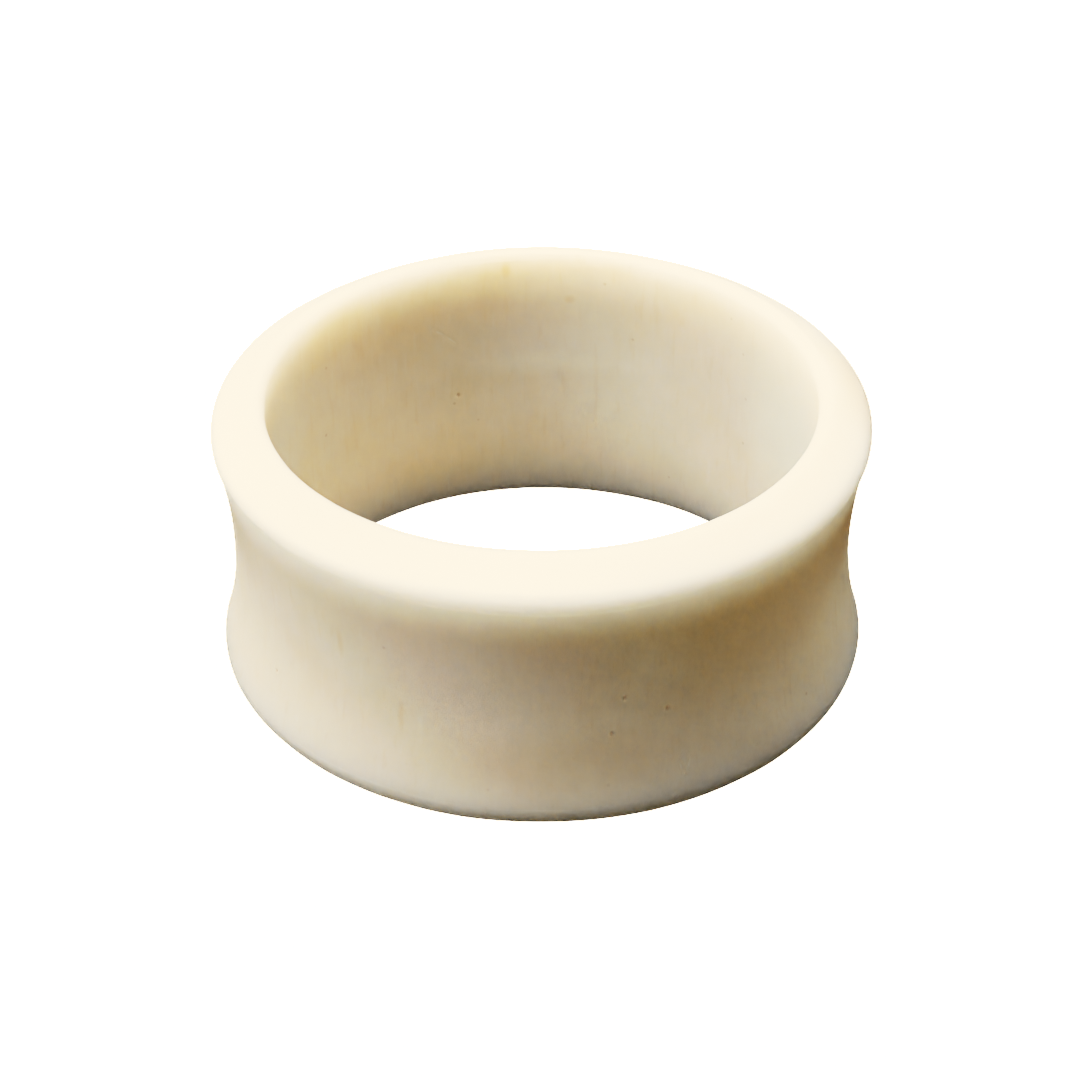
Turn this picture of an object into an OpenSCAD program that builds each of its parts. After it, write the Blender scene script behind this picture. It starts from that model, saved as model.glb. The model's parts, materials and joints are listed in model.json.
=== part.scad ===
// Ear eyelet: a hollow, double-flared tunnel turned from one piece of bone.
// It stands on its lower flare, with its axis along Z and the middle of its foot at the origin.
// All sizes are in millimetres, and all angles in degrees.

/* [Size] */
// Diameter of the neck at its waist, where the ear lobe sits
gauge_d = 25; // [16:1:40]
// Height over both rims
height = 12.2; // [11:0.1:16]
// Where the waist lies, as a share of the height
waist_share = 0.465; // [0.43:0.005:0.57]
// Thickness of the wall at the waist
neck_wall = 1.5; // [1.3:0.05:3]
// How far each flare stands out past the waist
flare_step = 0.65; // [0.5:0.05:0.75]

/* [Rims] */
// Slope of the upper rim's face, down towards the outside
upper_slope = 31; // [5:1:33]
// Slope of the lower rim's face, up towards the outside
lower_slope = 25; // [5:1:33]
// Radius of a crest, the rounded edge where a rim's face meets the bore
crest_r = 0.4; // [0.3:0.05:0.6]
// Radius of a lip, the rounded outer edge of a rim
lip_r = 0.6; // [0.2:0.05:0.7]
// How far the upper lip turns under, towards the neck, past its widest place
upper_undercut = 30; // [18:1:36]
// How far the lower lip turns over, towards the neck, past its widest place
lower_undercut = 22; // [18:1:36]
// Radius of the fillet in the corner between a lip and the neck
fillet_r = 0.5; // [0.2:0.05:1]

/* [Smoothness] */
// Largest turn between two straight steps round a crest, a lip or a fillet
edge_turn = 9; // [5:1:15]
// Largest turn between two straight steps along the neck
neck_turn = 1.25; // [0.75:0.25:3]

/* [Hidden] */
$fn = 180;

neck_r = gauge_d / 2;
bore_r = neck_r - neck_wall;
flare_r = neck_r + flare_step;
crest_x = bore_r + crest_r;
lip_x = flare_r - lip_r;
waist_z = waist_share * height;

// Directions are counted from straight up, turning outwards
up = 0;
outwards = 90;
inwards = -90;

// Points of an arc about [x, z], from one direction to another, in steps of finest or less
function arc(x, z, r, from, to, finest) =
    let (steps = max(1, ceil(abs(to - from) / finest)))
        [
            for (i = [0:steps])
                let (turn = from + (to - from) * i / steps)
                    [x + r * sin(turn), z + r * cos(turn)]
        ];

// Every point but the last
function but_last(points) = [for (i = [0:len(points) - 2]) points[i]];

// The same points below the waist, in the opposite order
function turned_over(points) = [for (i = [len(points) - 1:-1:0]) [points[i][0], -points[i][1]]];

// Outline of the wall on one side of the waist, which is at height 0 and is left out: over the
// crest, down the rim's face, round the lip, through the fillet and along the hollow neck. The
// neck is an arc that leaves the fillet smoothly and is upright at the waist. A lip that ran
// straight into the neck would turn by smooth_turn, so with a fillet it never turns by less.
function end_of_wall(reach, slope, undercut) =
    let (
        crest_z = reach - crest_r,
        lip_z = crest_z + (crest_r - lip_r) / cos(slope) - (lip_x - crest_x) * tan(slope),
        smooth_r = (pow(lip_r - flare_step, 2) + pow(lip_z, 2) - pow(lip_r, 2)) / (2 * flare_step),
        smooth_turn = atan2(lip_z, neck_r + smooth_r - lip_x),
        turn = max(undercut, smooth_turn),
        fillet_x = lip_x + (lip_r + fillet_r) * cos(turn),
        fillet_z = lip_z - (lip_r + fillet_r) * sin(turn),
        out = fillet_x - neck_r,
        hollow_r = (pow(out, 2) + pow(fillet_z, 2) - pow(fillet_r, 2)) / (2 * (out - fillet_r)),
        hollow_x = neck_r + hollow_r,
        neck_lean = atan2(fillet_z, hollow_x - fillet_x)
    )
        concat(
            but_last(arc(crest_x, crest_z, crest_r, inwards, up, edge_turn)),
            arc(crest_x, crest_z, crest_r, up, slope, edge_turn),
            but_last(arc(lip_x, lip_z, lip_r, slope, outwards, edge_turn)),
            but_last(arc(lip_x, lip_z, lip_r, outwards, outwards + turn, edge_turn)),
            but_last(arc(fillet_x, fillet_z, fillet_r, inwards + turn, inwards + neck_lean, edge_turn)),
            but_last(arc(hollow_x, 0, hollow_r, inwards + neck_lean, inwards, neck_turn))
        );

// The wall cut through on one side, with the waist at height 0
module wall_section() {
    waist = [neck_r, 0];
    upper_end = end_of_wall(height - waist_z, upper_slope, upper_undercut);
    lower_end = end_of_wall(waist_z, lower_slope, lower_undercut);
    polygon(concat(upper_end, [waist], turned_over(lower_end)));
}

module bone_eyelet() {
    color("ivory")
        translate([0, 0, waist_z])
            rotate_extrude()
                wall_section();
}

bone_eyelet();
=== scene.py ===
# %% [markdown]
# # An ear eyelet turned from bone
# The real object is a double-flared tunnel, a short hollow tube that sits in a stretched ear lobe.
# It is turned on a lathe from one piece of bone, so it is round in plan, and everything that gives
# it its look is in the shape of its wall and in the bone itself: a pale, waxy, slightly mottled
# material that light soaks into. The model is made the same way. The wall's outline is drawn once,
# turned round the axis, and then given the small unevenness and marks of a hand-finished piece.
#
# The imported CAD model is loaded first. It fixes the size and the place, and nothing here moves it.

# %% Load the frame
import json
import math

import bmesh
import bpy
from mathutils import Matrix, Vector


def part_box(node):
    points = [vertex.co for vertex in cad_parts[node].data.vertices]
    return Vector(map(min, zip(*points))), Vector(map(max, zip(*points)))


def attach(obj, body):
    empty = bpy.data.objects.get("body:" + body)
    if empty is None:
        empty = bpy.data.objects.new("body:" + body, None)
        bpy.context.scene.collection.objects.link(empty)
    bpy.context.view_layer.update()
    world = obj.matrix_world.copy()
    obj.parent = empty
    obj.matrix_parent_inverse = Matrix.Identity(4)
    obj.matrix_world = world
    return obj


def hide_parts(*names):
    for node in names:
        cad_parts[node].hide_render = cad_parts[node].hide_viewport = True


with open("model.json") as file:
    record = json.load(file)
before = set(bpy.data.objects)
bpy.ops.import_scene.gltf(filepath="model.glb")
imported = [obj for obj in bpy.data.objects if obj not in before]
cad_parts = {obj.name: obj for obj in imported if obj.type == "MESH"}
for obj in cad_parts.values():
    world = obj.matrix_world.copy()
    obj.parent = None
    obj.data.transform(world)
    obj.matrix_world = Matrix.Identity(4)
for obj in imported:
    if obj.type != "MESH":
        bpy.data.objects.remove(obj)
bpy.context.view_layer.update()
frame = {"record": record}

MM = 0.001

# %% [markdown]
# ## The sizes
# A maker of eyelets works from the gauge, which is the neck's diameter, and from the length. The
# frame gives the height, the width over the flares, the height of the waist and the bore, which is
# straight between the two rounded crests, so a crest's radius is half of what the bore's length
# leaves over. What the frame doesn't hold is named here: the gauge, the slopes of the two rims'
# faces, the radius of a lip, which is the rounded outer edge of a rim, how far each lip turns
# towards the neck past its widest place, and the fillet in the corner where it meets the neck.
# The two ends differ a little, because the piece is turned by hand.

# %% Sizes of the eyelet
NECK_R = 12.5 * MM
UPPER_SLOPE = math.radians(31)
LOWER_SLOPE = math.radians(25)
UPPER_UNDERCUT = math.radians(30)
LOWER_UNDERCUT = math.radians(22)
LIP_R = 0.6 * MM
FILLET_R = 0.5 * MM

foot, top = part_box("bone_eyelet")
mounts = {mount["name"]: mount for mount in frame["record"]["mounts"]}
bore = mounts["bore"]["dims"]
HEIGHT = top.z - foot.z
WAIST_Z = mounts["lobe_neck"]["pos_m"][2]
FLARE_R = (top.x - foot.x) / 2
BORE_R = bore["r_mm"] * MM
CREST_R = (HEIGHT - bore["length_mm"] * MM) / 2
print(f"height {HEIGHT / MM:.2f}, waist at {WAIST_Z / MM:.2f}, flares {2 * FLARE_R / MM:.2f},",
      f"bore {2 * BORE_R / MM:.2f}, crest radius {CREST_R / MM:.2f} mm")

# %% [markdown]
# ## The camera
# The photograph looks down at the eyelet from about 35 degrees, from quite near, so the far side
# is a little smaller than the near side. A long lens close to a small object gives that: the
# distance decides the perspective, and the lens then decides how large the object comes out.
# The camera stands on the front side, at -Y, and is turned a fraction of a degree about its view.
# Its numbers come from fitting the eyelet's outline to the outline in the photograph.

# %% Camera
CAMERA_ELEVATION = math.radians(34.55)
CAMERA_ROLL = math.radians(0.288)
CAMERA_DISTANCE = 126.11 * MM
CAMERA_AIM = Vector((-0.086, 0, 4.916)) * MM
LENS = 102.53
SENSOR = 36

view_back = Vector((0, -math.cos(CAMERA_ELEVATION), math.sin(CAMERA_ELEVATION)))
bpy.ops.object.select_all(action="DESELECT")
bpy.ops.object.camera_add(location=CAMERA_AIM + CAMERA_DISTANCE * view_back)
camera = bpy.context.object
camera.name = "camera"
camera.rotation_mode = "QUATERNION"
straight_look = Matrix.Rotation(math.pi / 2 - CAMERA_ELEVATION, 3, "X")
camera.rotation_quaternion = (straight_look @ Matrix.Rotation(-CAMERA_ROLL, 3, "Z")).to_quaternion()
camera.data.lens = LENS
camera.data.sensor_width = SENSOR
camera.data.clip_start = 1 * MM
bpy.context.scene.camera = camera
print("camera at", [round(part / MM, 1) for part in camera.location], "mm")

# %% [markdown]
# ## Shader sums
# A material is a graph of nodes, and a graph is hard to read as a list of links. A small class
# wraps a socket, so that sums on it are written as in plain Python and each adds its Math node.
# Every other node comes from one method, which takes the node's type, its settings and its inputs.

# %% Shader helpers
class Wire:
    """The value that a node gives, on which sums can be written."""

    def __init__(self, finish, socket):
        self.finish = finish
        self.socket = socket

    def maths(self, operation, first, second):
        return self.finish.node("ShaderNodeMath", {"operation": operation}, {0: first, 1: second})

    def __add__(self, other):
        return self.maths("ADD", self, other)

    def __sub__(self, other):
        return self.maths("SUBTRACT", self, other)

    def __rsub__(self, other):
        return self.maths("SUBTRACT", other, self)

    def __mul__(self, other):
        return self.maths("MULTIPLY", self, other)

    __radd__ = __add__
    __rmul__ = __mul__


class Finish:
    """A material under construction."""

    def __init__(self, name):
        self.material = bpy.data.materials.new(name)
        self.material.use_nodes = True
        self.tree = self.material.node_tree
        self.shader = self.tree.nodes["Principled BSDF"]

    def node(self, kind, settings=None, inputs=None, output=0):
        """Adds a node, sets it up, then fills its sockets with values or with wires."""
        made = self.tree.nodes.new(kind)
        for name, value in (settings or {}).items():
            setattr(made, name, value)
        for name, value in (inputs or {}).items():
            self.feed(made.inputs[name], value)
        return Wire(self, made.outputs[output])

    def feed(self, socket, value):
        """Links a wire to a socket, or writes a plain value into it."""
        if isinstance(value, Wire):
            self.tree.links.new(value.socket, socket)
        else:
            socket.default_value = value

    def set(self, **values):
        """Sets sockets of the surface shader, whose names are written with underscores."""
        for name, value in values.items():
            self.feed(self.shader.inputs[name.replace("_", " ")], value)


print("shader helpers ready")

# %% [markdown]
# ## The floor
# The photograph's ground is plain white with no shadow. Here the eyelet stands on a plain white
# floor. White paper close to so small a thing would throw light up under the flare and wash out
# the shade there, which the photograph keeps, so the floor is kept out of the diffuse and the
# glossy rays: it is seen, but it lends the eyelet no light of its own. It glows strongly enough to
# be drawn pure white even where the eyelet shades it.

# %% Floor
FLOOR_SIZE = 3.0
FLOOR_GLOW = 12
bpy.ops.object.select_all(action="DESELECT")
bpy.ops.mesh.primitive_plane_add(size=FLOOR_SIZE)
floor = bpy.context.object
floor.name = "floor"
floor.visible_diffuse = False
floor.visible_glossy = False
paper = Finish("white_paper")
paper.set(Base_Color=(0.8, 0.8, 0.8, 1), Roughness=0.9, Specular_IOR_Level=0.1)
paper.set(Emission_Color=(1, 1, 1, 1), Emission_Strength=FLOOR_GLOW)
floor.data.materials.append(paper.material)
print("floor", FLOOR_SIZE, "m wide")

# %% [markdown]
# ## The lights
# The light in the photograph is soft and comes mostly from the left and from behind and above:
# both rims are bright all round, the inside of the far wall is evenly lit and brighter to the
# right, and the front of the neck, under the flare, is the darkest place. Round soft boxes give
# this. Each is placed by its bearing, counted anticlockwise from the right side as seen from
# above, and by the angle at which it stands above the floor. The places were chosen. The
# strengths were worked out by lighting the eyelet with one box at a time, finding the mix nearest
# to the photograph, and rounding it.

# %% Lights
LIGHT_DISTANCE = 0.6
LIGHT_SIZE = 0.36
LIGHT_POWER = 6.0
MIDDLE = Vector((0, 0, HEIGHT / 2))

def soft_box(name, bearing, elevation, strength):
    """A round soft box that faces the eyelet."""
    turn, rise = math.radians(bearing), math.radians(elevation)
    flat = math.cos(rise)
    towards = Vector((math.cos(turn) * flat, math.sin(turn) * flat, math.sin(rise)))
    bpy.ops.object.light_add(type="AREA", location=MIDDLE + LIGHT_DISTANCE * towards)
    lamp = bpy.context.object
    lamp.name = name
    lamp.rotation_euler = towards.to_track_quat("Z", "Y").to_euler()
    lamp.data.shape = "DISK"
    lamp.data.size = LIGHT_SIZE
    lamp.data.energy = LIGHT_POWER * strength


soft_box("box_left_high", 180, 80, 0.78)
soft_box("box_behind_high", 90, 80, 0.67)
soft_box("box_overhead", 0, 88, 0.41)
soft_box("box_left", 196, 40, 0.61)
soft_box("box_left_low", 180, 15, 0.11)
soft_box("box_behind_left_low", 145, 15, 0.26)
soft_box("box_behind_right", 30, 50, 0.18)

# %% [markdown]
# ## How bright light is drawn
# The bone's brightest places are cream without being burnt out, and its shades are deep. A plain
# display curve can't hold both, so the scene's own curves are bent as a film would: straight in
# the darks, then rolling off. The photograph is warm, so its green and its blue roll off to a
# ceiling a little below white, and only light as strong as the floor's is drawn pure white. The
# gains and ceilings were tuned until the rims had the photograph's cream, so part of that cream is
# in the display and not in the bone. Curve points are closer together in the darks.

# %% Film curves
FILM_WHITE = 6.0
FILM_KNEE = 0.4
FILM_GAIN = (1, 0.966, 0.893)
FILM_CEILING = (1, 0.935, 0.80)
CURVE_STEPS = 12

def film(light, ceiling):
    """Turns an amount of light into a display value."""
    if light < FILM_KNEE:
        return light
    room = ceiling - FILM_KNEE
    return FILM_KNEE + room * (1 - math.exp(-(light - FILM_KNEE) / room))


display = bpy.context.scene.view_settings
display.view_transform = "Standard"
display.use_curve_mapping = True
mapping = display.curve_mapping
mapping.initialize()
mapping.use_clip = True
for channel, (gain, ceiling) in enumerate(zip(FILM_GAIN, FILM_CEILING)):
    mapping.white_level[channel] = FILM_WHITE / gain
    curve = mapping.curves[channel]
    for step in range(1, CURVE_STEPS):
        share = (step / CURVE_STEPS) ** 2
        curve.points.new(share, film(share * FILM_WHITE, ceiling))
    for point in curve.points:
        point.handle_type = "AUTO_CLAMPED"
mapping.update()
print("film curves of", len(mapping.curves[0].points), "points")

# %% [markdown]
# ## The wall's outline
# On the lathe the wall is cut in this order: the bore, the crest where a rim's face meets it, the
# sloping face, the rounded lip, the fillet under it and the hollow of the neck. The outline is
# drawn the same way, in edit mode. One edge of a plane is kept as the bore's wall. From its upper
# end the outline is led on: spun round the crest's centre, extruded down the face, spun round the
# lip's centre, then spun back round the fillet's centre and round the far centre of the hollow
# until it reaches the waist. The lower end is led the other way, to the same waist. A spun point
# leaves a true arc behind, which is why this was chosen over placing points by hand. The waist is
# kept at height 0 while drawing.

# %% Helpers for drawing in edit mode
def open_for_editing(thing):
    """Edit mode on one object, in vertex mode, with nothing selected."""
    bpy.ops.object.select_all(action="DESELECT")
    thing.select_set(True)
    bpy.context.view_layer.objects.active = thing
    bpy.ops.object.mode_set(mode="EDIT")
    bpy.ops.mesh.select_mode(type="VERT")
    bpy.ops.mesh.select_all(action="DESELECT")


def pick(thing, test):
    """Selects the vertices whose places pass a test, with the edges and faces between them."""
    bpy.ops.mesh.select_all(action="DESELECT")
    mesh = bmesh.from_edit_mesh(thing.data)
    for vertex in mesh.verts:
        vertex.select_set(test(vertex.co))
    mesh.select_flush(True)
    bmesh.update_edit_mesh(thing.data)
    return sum(vertex.select for vertex in mesh.verts)


print("drawing helpers ready")

# %% Bore wall, from one edge of a plane
BORE_STEPS = 56
crest_top = HEIGHT - WAIST_Z - CREST_R
crest_bottom = -WAIST_Z + CREST_R
bpy.ops.object.select_all(action="DESELECT")
bpy.ops.mesh.primitive_plane_add(size=crest_top - crest_bottom, rotation=(math.pi / 2, 0, 0))
eyelet = bpy.context.object
eyelet.name = eyelet.data.name = "eyelet"
bpy.ops.object.transform_apply(location=True, rotation=True, scale=True)
open_for_editing(eyelet)
pick(eyelet, lambda place: place.x > 0)
bpy.ops.mesh.delete(type="VERT")
bpy.ops.mesh.select_all(action="SELECT")
half_width = (crest_top - crest_bottom) / 2
bpy.ops.transform.translate(value=(BORE_R + half_width, 0, (crest_top + crest_bottom) / 2))
bpy.ops.mesh.subdivide(number_cuts=BORE_STEPS - 1)
print("bore wall:", len(bmesh.from_edit_mesh(eyelet.data).verts), "points")

# %% Crest, face, lip, fillet and hollow of each end
MERGE = 0.001 * MM
CREST_STEPS = 9
FACE_STEPS = 8
LIP_STEPS = 10
FILLET_STEPS = 4
HOLLOW_STEPS = 26

def lead_to_waist(reach, slope, undercut, side):
    """Leads the outline on from the bore to the waist, on the upper (1) or the lower (-1) side."""
    crest_x, crest_z = BORE_R + CREST_R, reach - CREST_R
    lip_x = FLARE_R - LIP_R
    lip_z = crest_z + (CREST_R - LIP_R) / math.cos(slope) - (lip_x - crest_x) * math.tan(slope)
    fillet_x = lip_x + (LIP_R + FILLET_R) * math.cos(undercut)
    fillet_z = lip_z - (LIP_R + FILLET_R) * math.sin(undercut)
    out = fillet_x - NECK_R
    hollow_r = (out ** 2 + fillet_z ** 2 - FILLET_R ** 2) / (2 * (out - FILLET_R))
    hollow_x = NECK_R + hollow_r
    neck_lean = math.atan2(fillet_z, hollow_x - fillet_x)
    outwards = Vector((math.sin(slope), 0, side * math.cos(slope)))
    face = Vector((lip_x, 0, side * lip_z)) + LIP_R * outwards
    face -= Vector((crest_x, 0, side * crest_z)) + CREST_R * outwards

    def round_off(x, z, turn, steps):
        bpy.ops.mesh.spin(steps=steps, angle=turn, center=(x, 0, side * z), axis=(0, -side, 0))

    pick(eyelet, lambda place: abs(place.x - BORE_R) < MERGE
         and side * place.z > crest_z - MERGE)
    round_off(crest_x, crest_z, math.pi / 2 + slope, CREST_STEPS)
    for step in range(FACE_STEPS):
        bpy.ops.mesh.extrude_region_move(TRANSFORM_OT_translate={"value": face / FACE_STEPS})
    round_off(lip_x, lip_z, math.pi / 2 + undercut - slope, LIP_STEPS)
    round_off(fillet_x, fillet_z, neck_lean - undercut, FILLET_STEPS)
    round_off(hollow_x, 0, -neck_lean, HOLLOW_STEPS)
    return lip_z, hollow_r


upper_lip_z, upper_hollow_r = lead_to_waist(HEIGHT - WAIST_Z, UPPER_SLOPE, UPPER_UNDERCUT, 1)
lower_lip_z, lower_hollow_r = lead_to_waist(WAIST_Z, LOWER_SLOPE, LOWER_UNDERCUT, -1)
bpy.ops.mesh.select_all(action="SELECT")
bpy.ops.mesh.remove_doubles(threshold=MERGE)
outline = bmesh.from_edit_mesh(eyelet.data)
print(f"outline of {len(outline.verts)} points and {len(outline.edges)} edges,",
      f"lips {(upper_lip_z + lower_lip_z) / MM:.2f} mm apart,",
      f"hollow radii {upper_hollow_r / MM:.2f} and {lower_hollow_r / MM:.2f} mm")

# %% [markdown]
# ## Turning
# The closed outline is spun once round the upright axis, as the lathe turns the blank, and the
# first and last copies are merged. A spin can leave a shape inside out, so the normals are worked
# out anew after the merge. Last, the ring is raised so that it stands on its lower flare.

# %% Turn and raise
TURN_STEPS = 540

bpy.ops.mesh.select_all(action="SELECT")
bpy.ops.mesh.spin(steps=TURN_STEPS, angle=2 * math.pi, center=(0, 0, 0), axis=(0, 0, 1))
bpy.ops.mesh.select_all(action="SELECT")
bpy.ops.mesh.remove_doubles(threshold=MERGE)
bpy.ops.mesh.normals_make_consistent(inside=False)
bpy.ops.transform.translate(value=(0, 0, WAIST_Z))
ring = bmesh.from_edit_mesh(eyelet.data)
open_edges = sum(not edge.is_manifold for edge in ring.edges)
print("faces:", len(ring.faces), "open edges:", open_edges,
      f"volume {ring.calc_volume() / MM ** 3:.0f} mm3")
bpy.ops.object.mode_set(mode="OBJECT")

# %% [markdown]
# ## The unevenness of hand work
# A lathe leaves true circles, but the piece is then sanded and polished by hand, which leaves it a
# few hundredths of a millimetre uneven. Displace modifiers with soft cloud textures give that: a
# broad one for the sanding and a fine one for what the tool left. They are applied at once.

# %% Uneven surface
def uneven(name, size, depth):
    """Moves the surface in and out by soft noise of one size."""
    clouds = bpy.data.textures.new(name, "CLOUDS")
    clouds.noise_scale = size
    modifier = eyelet.modifiers.new(name, "DISPLACE")
    modifier.texture = clouds
    modifier.texture_coords = "LOCAL"
    modifier.mid_level = 0.5
    modifier.strength = 2 * depth
    bpy.ops.object.modifier_apply(modifier=name)


uneven("sanding", 6 * MM, 0.03 * MM)
uneven("tool_marks", 1.2 * MM, 0.006 * MM)
print("uneven surface:", len(eyelet.data.vertices), "points")

# %% [markdown]
# ## Marks
# The bone has a few marks of its own. Pores are places where a canal of the bone comes out, and
# are small pits. Scratches are shallow grooves. A pore is given by its side of the wall, its bearing
# round the axis in degrees, its height above the foot and its width, both in millimetres, and a
# scratch by its side and the bearings and heights that it runs through. The same two lists shape
# the surface here and colour it later.
#
# The mesh is too coarse for either kind, so the faces round a mark are subdivided first. The points
# on the mark are then pushed into the wall with proportional editing, which draws their neighbours
# along. Halfway up the bore at the back is a faint ridge, where the tool that came from one end met
# the cut from the other.

# %% Places of the marks
OUTSIDE_R = 12.6 * MM
PORES = {
    "pore_right_high": ("out", 284.2, 6.04, 0.10),
    "pore_right": ("out", 292.1, 5.16, 0.12),
    "pore_right_low": ("out", 281.9, 4.47, 0.09),
    "pore_back": ("in", 109.2, 5.48, 0.11),
    "pore_left": ("out", 214.0, 3.60, 0.08),
    "pore_far": ("out", 62.0, 7.40, 0.11),
    "pore_far_low": ("out", 118.0, 4.10, 0.10),
    "pore_front_in": ("in", 251.0, 7.90, 0.10),
}
SCRATCHES = {
    "scratch_back": ("in", ((114.6, 8.96), (112.0, 8.59), (109.4, 8.09))),
    "scratch_front_left": ("out", ((293.9, 2.75), (294.7, 2.05))),
    "scratch_front_right": ("out", ((296.3, 2.70), (295.1, 2.05))),
    "scratch_far": ("out", ((74.0, 5.9), (77.5, 5.2))),
}


def unroll(side, bearing, height):
    """A place on one side of the wall as a flat point, in metres round and up."""
    radius = BORE_R if side == "in" else OUTSIDE_R
    return Vector((math.radians(bearing) * radius, height))


def unrolled(side):
    """Gives the flat point of a vertex, or nothing where it is on the other side."""
    def flat(place):
        radius = math.hypot(place.x, place.y)
        if (radius < BORE_R + CREST_R) != (side == "in"):
            return None
        return unroll(side, math.degrees(math.atan2(place.y, place.x)) % 360, place.z)
    return flat


def away_from(point, line):
    """How far a flat point is from a line of flat points, or from a single one."""
    if len(line) == 1:
        return (point - line[0]).length
    nearest = []
    for start, end in zip(line, line[1:]):
        along = end - start
        share = (point - start).dot(along) / along.length_squared
        nearest.append((point - start - max(0, min(1, share)) * along).length)
    return min(nearest)


print(len(PORES), "pores and", len(SCRATCHES), "scratches")

# %% Pits, grooves and the ridge
FINE_CUTS = 3
PIT_DEPTH_SHARE = 0.4
PIT_REACH = 0.35 * MM
GROOVE_WIDTH = 0.08 * MM
GROOVE_DEPTH = 0.015 * MM
GROOVE_REACH = 0.25 * MM
RIDGE_FROM, RIDGE_TO = 68, 108
RIDGE_Z = 6.55 * MM
RIDGE_HALF_HEIGHT = 0.15 * MM
RIDGE_SPREAD = 0.7 * MM
RIDGE_SHRINK = 0.998

def push_in(side, line, width, depth, reach):
    """Subdivides the wall round a line and pushes the line into the wall."""
    flat = unrolled(side)

    def near(place, distance):
        point = flat(place)
        return point is not None and away_from(point, line) < distance

    pick(eyelet, lambda place: near(place, reach))
    bpy.ops.mesh.subdivide(number_cuts=FINE_CUTS)
    picked = pick(eyelet, lambda place: near(place, width / 2))
    bearing = sum(point.x for point in line) / len(line) / (BORE_R if side == "in" else OUTSIDE_R)
    inwards = Vector((math.cos(bearing), math.sin(bearing), 0)) * (1 if side == "in" else -1)
    bpy.ops.transform.translate(value=depth * inwards, use_proportional_edit=True,
                                proportional_edit_falloff="SMOOTH", proportional_size=width)
    return picked


open_for_editing(eyelet)
pushed = 0
for side, bearing, height, width in PORES.values():
    line = [unroll(side, bearing, height * MM)]
    pushed += push_in(side, line, width * MM, PIT_DEPTH_SHARE * width * MM, PIT_REACH)
for side, points in SCRATCHES.values():
    line = [unroll(side, bearing, height * MM) for bearing, height in points]
    pushed += push_in(side, line, GROOVE_WIDTH, GROOVE_DEPTH, GROOVE_REACH)
ridge = pick(eyelet, lambda place: math.hypot(place.x, place.y) < BORE_R + CREST_R
             and RIDGE_FROM < math.degrees(math.atan2(place.y, place.x)) < RIDGE_TO
             and abs(place.z - RIDGE_Z) < RIDGE_HALF_HEIGHT)
bpy.ops.transform.resize(value=(RIDGE_SHRINK, RIDGE_SHRINK, 1), center_override=(0, 0, 0),
                         use_proportional_edit=True, proportional_edit_falloff="SMOOTH",
                         proportional_size=RIDGE_SPREAD)
marked = bmesh.from_edit_mesh(eyelet.data)
triangles = sum(len(face.verts) - 2 for face in marked.faces)
print("points pushed in:", pushed, "on the ridge:", ridge, "triangles:", triangles)
bpy.ops.object.mode_set(mode="OBJECT")

# %% [markdown]
# ## Bone
# Bone is pale ivory and waxy. Light goes some way into it, so its shades are soft and warm. Up
# close it has a cloudy mottling of warmer and paler patches, a fine grain along the length of the
# tube, where the bone's canals run just under the surface, and a few brown pores. All of it is
# made from noise in the object's own coordinates, so that it stays with the piece from every side.

# %% Helpers for the bone's pattern
bone = Finish("bone")
position = bone.node("ShaderNodeTexCoord", output="Object")


def noise(coordinates, size, detail=2.0):
    """Soft noise with blots of about one size."""
    inputs = {"Vector": coordinates, "Scale": 1 / size, "Detail": detail, "Roughness": 0.5}
    return bone.node("ShaderNodeTexNoise", {"noise_dimensions": "3D"}, inputs, output="Fac")


def between(value, low, high, most=1.0):
    """0 up to low and most from high on, with a soft ramp between them; low may be the larger."""
    inputs = {"Value": value, "From Min": low, "From Max": high, "To Max": most}
    return bone.node("ShaderNodeMapRange", {"interpolation_type": "SMOOTHSTEP"}, inputs)


def blend(factor, under, over):
    """One colour laid over another where the factor is 1."""
    settings = {"data_type": "RGBA"}
    return bone.node("ShaderNodeMix", settings, {0: factor, 6: under, 7: over}, output=2)


def length(vector):
    """How long a vector is."""
    return bone.node("ShaderNodeVectorMath", {"operation": "LENGTH"}, {0: vector}, output="Value")


def spot(side, bearing, height, half_width, half_height, depth=0.7, tilt=0.0, strength=1.0):
    """A soft blot on one side of the wall, strongest in its middle, 0 at its edge; sizes in mm."""
    wall_r = BORE_R if side == "in" else OUTSIDE_R
    turn = math.radians(bearing)
    middle = (wall_r * math.cos(turn), wall_r * math.sin(turn), height * MM)
    inputs = {"Vector": position, "Location": middle, "Rotation": (math.radians(tilt), 0, turn),
              "Scale": (depth * MM, half_width * MM, half_height * MM)}
    local = bone.node("ShaderNodeMapping", {"vector_type": "TEXTURE"}, inputs)
    return between(length(local), 1, 0.15, strength)


def lay(blots, colour):
    """Lays blots over a colour, one after another."""
    for where, size, strength, tint in blots.values():
        colour = blend(spot(*where, *size, strength=strength), colour, tint)
    return colour


print("pattern helpers ready")

# %% Ground colour
IVORY = (0.80, 0.70, 0.57, 1)
WARM = (0.79, 0.65, 0.47, 1)
PALE = (0.86, 0.79, 0.69, 1)
TAN = (0.66, 0.49, 0.30, 1)
CLOUD_SIZE = 4.0 * MM
PATCH_SIZE = 9.0 * MM
CANAL_SIZE = 0.28 * MM
STREAK_SIZE = 1.1 * MM
SQUEEZE = 0.16

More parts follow.
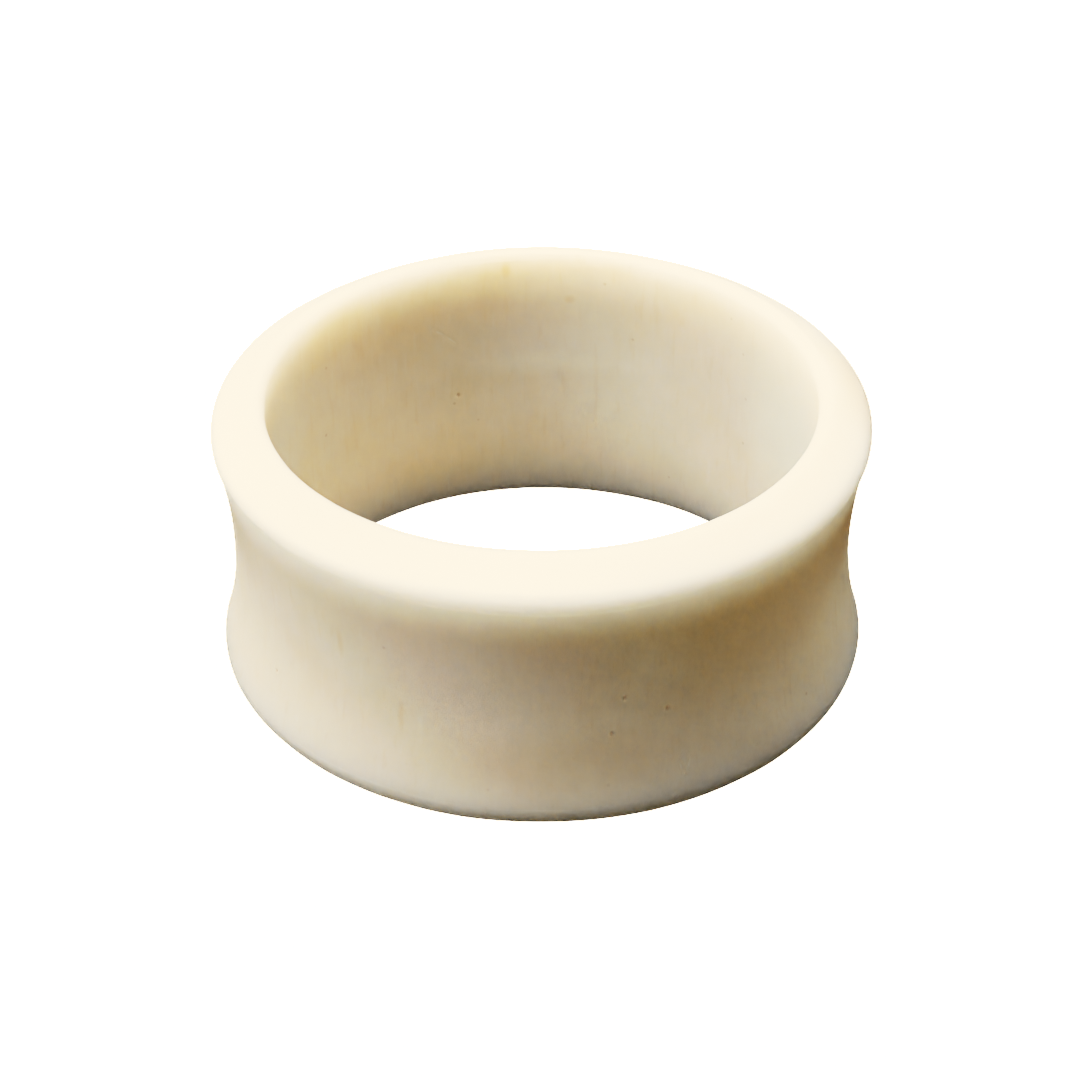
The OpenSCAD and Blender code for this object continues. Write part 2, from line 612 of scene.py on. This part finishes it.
along = bone.node("ShaderNodeMapping", inputs={"Vector": position, "Scale": (1, 1, SQUEEZE)})
clouds = noise(position, CLOUD_SIZE, 3)
patches = noise(position, PATCH_SIZE)
canals = noise(along, CANAL_SIZE, 3)
streaks = noise(along, STREAK_SIZE)
colour = blend(between(clouds, 0.42, 0.72, 0.6), IVORY, WARM)
colour = blend(between(patches, 0.5, 0.75, 0.5), colour, PALE)
colour = blend(between(streaks, 0.55, 0.8, 0.25), colour, WARM)
colour = blend(between(canals, 0.56, 0.76, 0.16), colour, TAN)
colour = blend(between(canals, 0.42, 0.24, 0.22), colour, PALE)
print("ground colour ready, canals drawn out", round(1 / SQUEEZE, 1), "times")

# %% [markdown]
# ## Patches, stains, pores and scratches
# With plain bone under the boxes above, some broad areas still came out lighter, darker or warmer
# than in the photograph. The patches are wide, soft blots that close those gaps. They were tuned
# against the photograph from its own view, and all but two are painted shade and painted light that
# the boxes don't give, not the colour of the bone: painted shade at the neck's left and right edges,
# low on its front, at the top of the far rim and on the upper lip's right, a painted greyer tint of
# the shade on the front of the neck, painted light in the bore on its right and on its left, and a
# painted highlight where the ridge in the bore catches the light. Of the other two, one makes the
# neck's front right darker and browner and one is a warm stain in the bore at the back. They are
# fixed to the piece, so they don't slide in other views, but in other light they can show as faint
# stains. Without them the bone is plain. The patch on the lip is kept apart because it has to be
# laid over the lip's own colour.
#
# The stains, pores and scratches are marks, those on the front and in the bore seen in the
# photograph and the others added in their manner. A blot is given by its place (side, bearing,
# height), its size (half its width, half its height and, where it isn't the usual one, its depth
# into the wall), its strength and its colour. Tiny pores are everywhere, one to a cell of a cell
# pattern. The pits and the grooves cut above are coloured last.

# %% Patches and stains
BROWN = (0.34, 0.22, 0.13, 1)
# DUSK darkens the patches below, mostly as painted shade, ASH tints painted shade and CREAM is
# painted light.
DUSK = (0.69, 0.595, 0.465, 1)
CREAM = (0.96, 0.86, 0.69, 1)
ASH = (0.775, 0.69, 0.635, 1)
PATCHES = {
    # Darker and browner on the neck's front right.
    "dull_front_right": (("out", 311, 7.4), (9.0, 4.4, 1.6), 0.75, DUSK),
    # Painted shade at the neck's right and left edges and low on its front, and a painted greyer
    # tint of the shade on its front.
    "dull_right": (("out", 338, 8.4), (5.0, 3.2, 1.4), 0.85, DUSK),
    "tan_right": (("out", 344, 8.4), (3.4, 2.8, 1.4), 0.35, TAN),
    "dull_left": (("out", 200, 8.4), (2.8, 3.0, 1.4), 0.8, DUSK),
    "dull_front_low": (("out", 272, 3.2), (9.0, 2.2, 1.6), 0.75, DUSK),
    "ashen_front": (("out", 260, 7.0), (9.5, 4.6, 1.8), 0.5, ASH),
    # Painted shade at the top of the far rim, inside.
    "tan_back_rim": (("in", 90, 12.1), (8.0, 1.5, 1.8), 0.38, TAN),
    # Painted light in the bore on its right and on its left.
    "creamy_bore_right": (("in", 16, 7.5), (7.0, 6.0, 2.0), 0.95, CREAM),
    "pale_bore_left": (("in", 168, 7.5), (4.5, 4.5, 1.2), 0.4, PALE),
    "warm_bore_back": (("in", 105, 10.7), (4.2, 1.5), 0.15, WARM),
    # A painted highlight where the ridge in the bore catches the light.
    "creamy_ridge": (("in", 91, 6.75), (4.2, 0.9, 1.0), 0.35, CREAM),
}
LIP_SHADE_PATCHES = {
    # Painted shade on the right of the upper lip.
    "tan_lip_right": (("out", 6, 11.2), (5.5, 1.8, 1.4), 0.6, TAN),
}
STAINS = {
    "stain_back_rim": (("in", 97.8, 11.45), (0.30, 0.60), 0.6, TAN),
    "stain_back_rim_right": (("in", 81.3, 11.94), (0.4, 0.3), 0.3, TAN),
    "stain_back": (("in", 83.5, 9.95), (0.35, 0.3), 0.35, TAN),
    "stain_left_high": (("out", 232.2, 7.07), (0.22, 0.9), 0.3, TAN),
    "stain_left": (("out", 244.5, 4.60), (0.2, 1.1), 0.3, TAN),
    "pale_streak_left": (("out", 248.2, 4.52), (0.2, 0.8), 0.3, PALE),
}
PORE_SPACING = 1.7 * MM

cells = {"Vector": position, "Scale": 1 / PORE_SPACING, "Randomness": 1.0}
to_pore = bone.node("ShaderNodeTexVoronoi", {"voronoi_dimensions": "3D", "feature": "F1"}, cells,
                    output="Distance")
colour = blend(between(to_pore, 0.06, 0.02, 0.28), colour, BROWN)
# The patches are mostly painted shade and painted light.
colour = lay(PATCHES, colour)
colour = lay(STAINS, colour)
print(len(PATCHES), "patches and", len(STAINS), "stains")

# %% Colour of the pits and grooves
for side, bearing, height, width in PORES.values():
    pore = spot(side, bearing, height, 1.1 * width, 1.6 * width, strength=0.5)
    colour = blend(pore, colour, BROWN)
for side, points in SCRATCHES.values():
    wall_r = BORE_R if side == "in" else OUTSIDE_R
    for (bearing, height), (next_bearing, next_height) in zip(points, points[1:]):
        across = math.radians(next_bearing - bearing) * wall_r / MM
        up = next_height - height
        middle = (side, (bearing + next_bearing) / 2, (height + next_height) / 2)
        tilt = math.degrees(math.atan2(up, across))
        half_length = math.hypot(across, up) / 2 + 0.05
        scratch = spot(*middle, half_length, 0.07, tilt=tilt, strength=0.6)
        colour = blend(scratch, colour, PALE)
print("marks ready, nodes so far:", len(bone.tree.nodes))

# %% [markdown]
# ## The lips
# In the photograph the upper lip is paler than the neck below it, because more light reaches it and
# spreads down through the bone. It may be polished paler, or only catch more light. Here that is
# painted light: the lip is made of paler bone, strongest a little under the lip's centre and fading
# out down the neck and up the rim's face. The lower lip is hardly paler. The paleness goes by the
# distance from the lip's centre, measured in the plane of the wall's outline, so it runs evenly all
# the way round.

# %% Painted light on the lips
LIP_PAINTED_LIGHT = (0.97, 0.86, 0.745, 1)
SHINE_DROP = 0.35 * MM
flat_position = bone.node("ShaderNodeVectorMath", {"operation": "MULTIPLY"},
                          {0: position, 1: (1, 1, 0)})
from_axis = length(flat_position)
above_foot = bone.node("ShaderNodeSeparateXYZ", inputs={0: position}, output="Z")


def lip(lip_height, full, none):
    """1 near the lip's rounding at a height and 0 away from it, on the outside of the wall."""
    out = from_axis - (FLARE_R - LIP_R)
    up = above_foot - lip_height
    away = bone.node("ShaderNodeMath", {"operation": "SQRT"}, {0: out * out + up * up})
    return between(away, none, full)


upper_lip = lip(WAIST_Z + upper_lip_z - SHINE_DROP, 0.3 * MM, 1.8 * MM)
lower_lip = lip(WAIST_Z - lower_lip_z, 0.5 * MM, 1.5 * MM)
# Painted light on the upper lip and, faintly, on the lower one.
colour = blend(0.95 * upper_lip, colour, LIP_PAINTED_LIGHT)
colour = blend(0.15 * lower_lip, colour, LIP_PAINTED_LIGHT)
# Painted shade on the upper lip's right.
colour = lay(LIP_SHADE_PATCHES, colour)
print("upper lip at", round((WAIST_Z + upper_lip_z) / MM, 2), "mm")

# %% [markdown]
# ## Polish and translucence
# The polish is satin. It is a little duller where the canals come near the surface and a little
# finer on the lips. The canals can also just be felt as a fine grain, which is too small for the
# mesh and is left to a bump of a few thousandths of a millimetre. Light spreads some millimetres
# through the bone, red furthest and blue least.

# %% Polish, fine bump and translucence
GRAIN_SIZE = 0.35 * MM
GRAIN_DEPTH = 0.006 * MM
GLOW_DEPTH = 5 * MM

roughness = canals * 0.10 + patches * 0.08 - (upper_lip + lower_lip) * 0.06 + 0.34
grain = noise(position, GRAIN_SIZE, 2) * 0.4 + canals * 0.6
bump_inputs = {"Height": grain, "Distance": GRAIN_DEPTH, "Strength": 0.6}
bump = bone.node("ShaderNodeBump", inputs=bump_inputs, output="Normal")
bone.set(Base_Color=colour, Roughness=roughness, Normal=bump, IOR=1.5)
bone.set(Subsurface_Weight=1.0, Subsurface_Radius=(1.0, 0.9, 0.75), Subsurface_Scale=GLOW_DEPTH)
eyelet.data.materials.append(bone.material)
print("bone material of", len(bone.tree.nodes), "nodes")

# %% [markdown]
# ## Into the frame
# The finished ring stands for the plain CAD solid and rides on the only body.

# %% Smooth, ride, replace
bpy.ops.object.select_all(action="DESELECT")
eyelet.select_set(True)
bpy.context.view_layer.objects.active = eyelet
bpy.ops.object.shade_smooth()
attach(eyelet, "root")
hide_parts("bone_eyelet")
